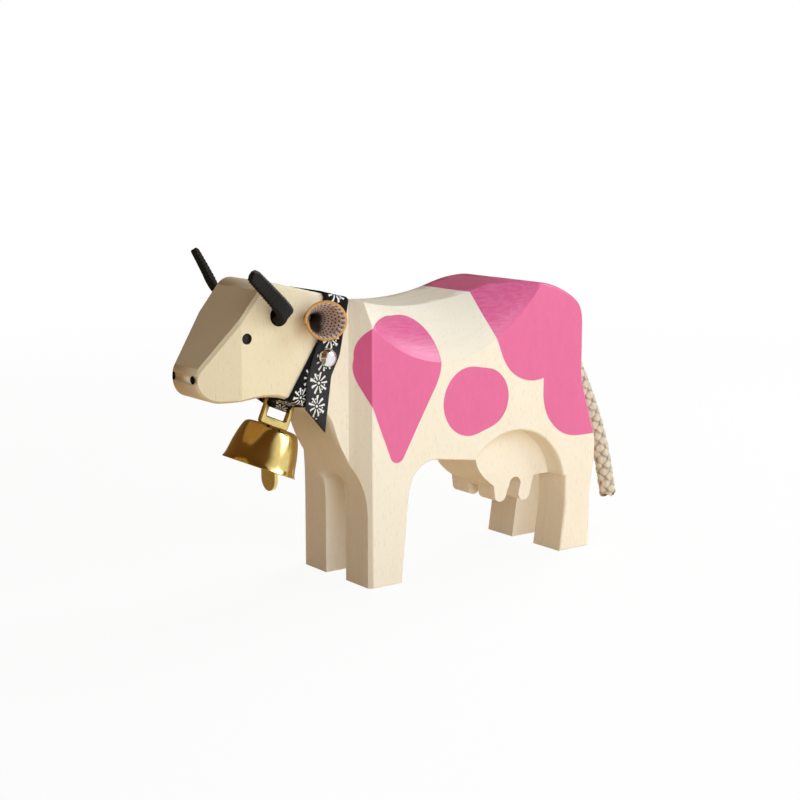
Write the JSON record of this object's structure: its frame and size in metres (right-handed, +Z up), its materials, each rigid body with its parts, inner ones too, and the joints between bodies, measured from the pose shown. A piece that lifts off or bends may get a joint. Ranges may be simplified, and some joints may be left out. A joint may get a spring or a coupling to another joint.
{
  "type": "cow figurine",
  "caption": "Toy cow sawn from thick wood, with painted patches, strip horns, rolled leather ears, a ribbon collar, a swinging brass bell with its clapper and a rope tail.",
  "frame": {"origin": "on the floor under the middle of the block, midway between the nose and the hocks", "axes": "-X towards the nose, -Y towards the cow's left side, +Z up"},
  "size_m": [0.1903, 0.0593, 0.1152],
  "materials": {
    "wood": "sanded smooth, with pink painted patches",
    "horn_leather": "black, finely ribbed",
    "ear_leather": "tan, with pale edges",
    "ribbon": "woven black with white flowers",
    "nail": "polished",
    "bell_brass": "polished",
    "rope": "braided cotton"
  },
  "bodies": {
    "cow": {"body": "wood", "left_horn": "horn_leather", "right_horn": "horn_leather", "left_ear": "ear_leather", "right_ear": "ear_leather", "collar_ribbon": "ribbon", "collar_nail": "nail", "tail_rope": "rope"},
    "bell": {"bell_loop": "bell_brass", "bell_shell": "bell_brass", "clapper_pin": "bell_brass"},
    "clapper": {"clapper": "bell_brass"}
  },
  "joints": [
    {"name": "bell_swing", "type": "hinge", "parent": "cow", "child": "bell", "pos_m": [-0.0442, 0, 0.06321], "axis": [0.9203, 0, -0.3913], "range_deg": [-30, 30]},
    {"name": "clapper_swing", "type": "hinge", "parent": "bell", "child": "clapper", "pos_m": [-0.04852, 0, 0.05304], "axis": [0, 1, 0], "range_deg": [-19, 65]}
  ]
}
